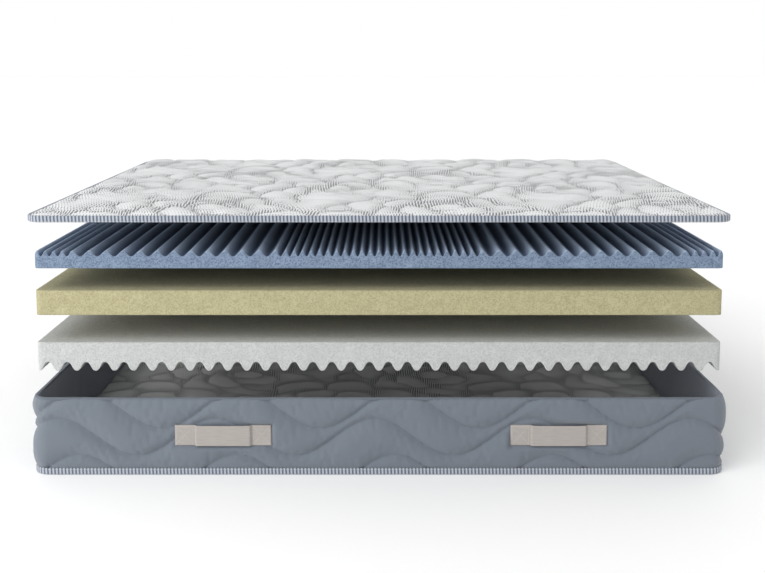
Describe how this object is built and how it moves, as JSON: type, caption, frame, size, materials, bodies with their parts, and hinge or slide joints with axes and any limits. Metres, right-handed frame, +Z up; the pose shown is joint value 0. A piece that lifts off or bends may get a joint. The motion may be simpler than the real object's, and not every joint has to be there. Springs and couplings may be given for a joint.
{
  "type": "memory foam mattress",
  "caption": "Layered memory foam mattress shown taken apart: fabric cover tray with handles, grooved support foam, memory foam, ridged zoned foam and a quilted top panel.",
  "frame": {"origin": "middle of the underside, on the surface that the mattress lies on", "axes": "+X along the mattress's length, +Y across it from the front side to the rear side, +Z up"},
  "size_m": [2.01, 1.619, 0.76],
  "materials": {
    "bottom_fabric": "matte",
    "wadding": "matte",
    "floor_lining": "matte",
    "border_knit": "matte",
    "border_lining": "matte",
    "rim_binding": "matte",
    "edge_tape": "matte",
    "thread": "matte",
    "webbing": "matte",
    "support_foam": "matte",
    "memory_foam": "matte",
    "zoned_foam": "matte",
    "panel_lining": "matte",
    "jacquard": "matte"
  },
  "bodies": {
    "cover": {"bottom_panel_face": "bottom_fabric", "bottom_panel_wadding": "wadding", "bottom_panel_lining": "floor_lining", "border_face": "border_knit", "border_wadding": "wadding", "border_lining": "border_lining", "rim_binding": "rim_binding", "bottom_tape": "edge_tape", "bottom_tape_stitching": "thread", "front_left_handle": "webbing", "front_right_handle": "webbing", "rear_left_handle": "webbing", "rear_right_handle": "webbing", "front_left_handle_stitching": "thread", "front_right_handle_stitching": "thread", "rear_left_handle_stitching": "thread", "rear_right_handle_stitching": "thread"},
    "support_layer": {"support_foam": "support_foam"},
    "memory_layer": {"memory_foam": "memory_foam"},
    "zoned_layer": {"zoned_foam": "zoned_foam"},
    "top_panel": {"top_panel_lining": "panel_lining", "top_panel_wadding": "wadding", "top_panel_face": "jacquard", "top_tape": "edge_tape", "top_tape_stitching": "thread"}
  },
  "joints": [
    {"name": "support_slide", "type": "slide", "parent": "cover", "child": "support_layer", "axis": [0, 0, 1], "range_m": [-0.2825, 0]},
    {"name": "memory_slide", "type": "slide", "parent": "support_layer", "child": "memory_layer", "axis": [0, 0, 1], "range_m": [-0.079, 0]},
    {"name": "zoned_slide", "type": "slide", "parent": "memory_layer", "child": "zoned_layer", "axis": [0, 0, 1], "range_m": [-0.0635, 0]},
    {"name": "panel_slide", "type": "slide", "parent": "zoned_layer", "child": "top_panel", "axis": [0, 0, 1], "range_m": [-0.0835, 0]}
  ]
}
